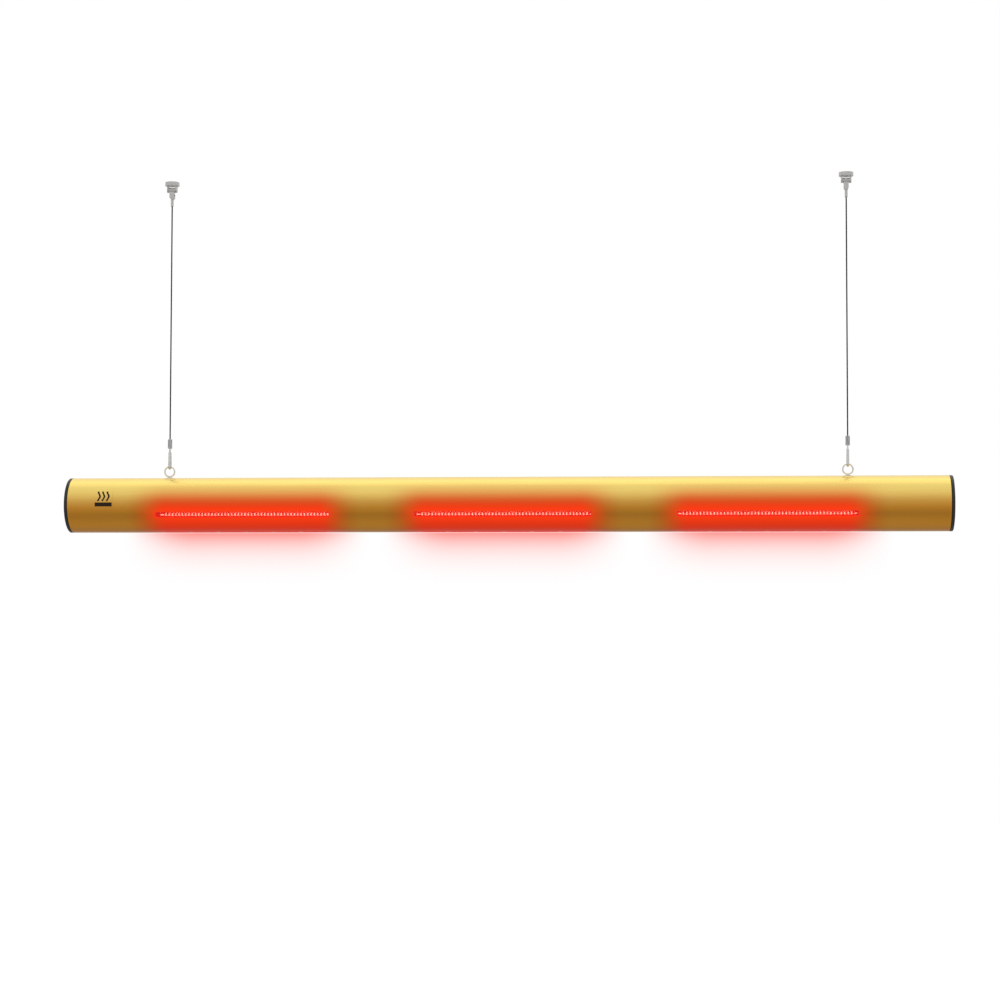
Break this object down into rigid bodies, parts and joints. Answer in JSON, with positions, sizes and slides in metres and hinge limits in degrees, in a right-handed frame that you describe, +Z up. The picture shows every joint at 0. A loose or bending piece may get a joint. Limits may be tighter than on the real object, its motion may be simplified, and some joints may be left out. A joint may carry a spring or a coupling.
{
  "type": "heat lamp warmer",
  "caption": "Hanging round-tube infrared food warmer with lit quartz lamps behind red window strips, on two steel cables with swivelling ceiling couplers.",
  "frame": {"origin": "ceiling plane, midway between the two ceiling couplers", "axes": "+X along the tube to the right seen from the front, +Y to the back, +Z up"},
  "size_m": [1.221, 0.0955, 0.4931],
  "materials": {
    "gold_anodised": "satin gold anodised",
    "black_cap": "satin",
    "steel_cable": "stranded wire rope",
    "light_steel": "zinc plated",
    "ferrule": "pressed",
    "coupler": "satin nickel",
    "screw_steel": "zinc plated",
    "rail_steel": "galvanised",
    "reflector": "bright rolled",
    "ruby_glass": "clear red",
    "quartz": "clear",
    "lamp_coil": "glowing tungsten",
    "ceramic": "unglazed",
    "contact": "nickel plated",
    "wire_sleeve": "glass fibre sleeving",
    "black_plastic": "satin",
    "rubber_seal": "matte",
    "badge_print": "printed label"
  },
  "bodies": {
    "ceiling": {"coupler_bases": "coupler", "coupler_pins": "coupler"},
    "left_swivel": {"left_swivel_block": "coupler", "left_swivel_pin": "coupler"},
    "left_rope": {"left_cable_terminal": "coupler", "left_cable": "steel_cable"},
    "left_loop": {"left_cable_loop": "light_steel", "left_thimble": "light_steel", "left_ferrule": "ferrule"},
    "right_swivel": {"right_swivel_block": "coupler", "right_swivel_pin": "coupler"},
    "right_rope": {"right_cable_terminal": "coupler", "right_cable": "steel_cable"},
    "right_loop": {"right_cable_loop": "light_steel", "right_thimble": "light_steel", "right_ferrule": "ferrule"},
    "contact_1": {"lamp_1_contact": "contact"},
    "contact_2": {"lamp_2_contact": "contact"},
    "contact_3": {"lamp_3_contact": "contact"},
    "warmer": {"tube_housing": "gold_anodised", "guard_grille_1": "gold_anodised", "guard_grille_2": "gold_anodised", "guard_grille_3": "gold_anodised", "left_end_cap": "black_cap", "right_end_cap": "black_cap", "left_eye_bolt": "light_steel", "right_eye_bolt": "light_steel", "eye_bolt_washers": "light_steel", "eye_bolt_nuts": "screw_steel", "eye_bolt_spacers": "screw_steel", "end_cap_screws": "screw_steel", "guard_screws": "screw_steel", "reflector_studs": "screw_steel", "chassis_rail": "rail_steel", "socket_brackets": "rail_steel", "window_retainers": "rail_steel", "heat_shields": "rail_steel", "reflector_1": "reflector", "reflector_2": "reflector", "reflector_3": "reflector", "window_glass_1": "ruby_glass", "window_glass_2": "ruby_glass", "window_glass_3": "ruby_glass", "lamp_1_quartz": "quartz", "lamp_2_quartz": "quartz", "lamp_3_quartz": "quartz", "lamp_1_coil": "lamp_coil", "lamp_2_coil": "lamp_coil", "lamp_3_coil": "lamp_coil", "lamp_bases": "ceramic", "lamp_sockets": "ceramic", "terminal_block": "ceramic", "wiring_harness": "wire_sleeve", "lamp_leads": "wire_sleeve", "gland_body": "black_plastic", "gland_locknut": "black_plastic", "gland_dome_nut": "black_plastic", "gland_seal": "rubber_seal", "badge": "badge_print"}
  },
  "joints": [
    {"name": "fore_aft_swing", "type": "hinge", "parent": "ceiling", "child": "left_swivel", "pos_m": [-0.47, 0, -0.011], "axis": [1, 0, 0], "range_deg": [-20, 20]},
    {"name": "right_fore_aft_swing", "type": "hinge", "parent": "ceiling", "child": "right_swivel", "pos_m": [0.47, 0, -0.011], "axis": [1, 0, 0], "range_deg": [-20, 20]},
    {"name": "side_sway", "type": "hinge", "parent": "left_swivel", "child": "left_rope", "pos_m": [-0.47, 0, -0.021], "axis": [0, 1, 0], "range_deg": [-12, 12]},
    {"name": "left_loop_sway", "type": "hinge", "parent": "left_rope", "child": "left_loop", "pos_m": [-0.47, 0, -0.3622], "axis": [0, 1, 0], "range_deg": [-12, 12]},
    {"name": "tube_tilt", "type": "hinge", "parent": "left_loop", "child": "warmer", "pos_m": [-0.47, 0, -0.4011], "axis": [1, 0, 0], "range_deg": [-25, 25]},
    {"name": "right_loop_tilt", "type": "hinge", "parent": "warmer", "child": "right_loop", "pos_m": [0.47, 0, -0.4011], "axis": [1, 0, 0], "range_deg": [-25, 25]},
    {"name": "right_cable_sway", "type": "hinge", "parent": "right_loop", "child": "right_rope", "pos_m": [0.47, 0, -0.3622], "axis": [0, 1, 0], "range_deg": [-12, 12]},
    {"name": "contact_1_press", "type": "slide", "parent": "warmer", "child": "contact_1", "axis": [-1, 0, 0], "range_m": [0, 0.0025], "stiffness_N_per_m": 1500, "springref_m": -0.004},
    {"name": "contact_2_press", "type": "slide", "parent": "warmer", "child": "contact_2", "axis": [-1, 0, 0], "range_m": [0, 0.0025], "stiffness_N_per_m": 1500, "springref_m": -0.004},
    {"name": "contact_3_press", "type": "slide", "parent": "warmer", "child": "contact_3", "axis": [-1, 0, 0], "range_m": [0, 0.0025], "stiffness_N_per_m": 1500, "springref_m": -0.004}
  ],
  "couplings": [
    {"joint": "right_fore_aft_swing", "follows": "fore_aft_swing", "ratio": 1},
    {"joint": "left_loop_sway", "follows": "side_sway", "ratio": -1},
    {"joint": "right_loop_tilt", "follows": "tube_tilt", "ratio": -1},
    {"joint": "right_cable_sway", "follows": "side_sway", "ratio": 1}
  ]
}
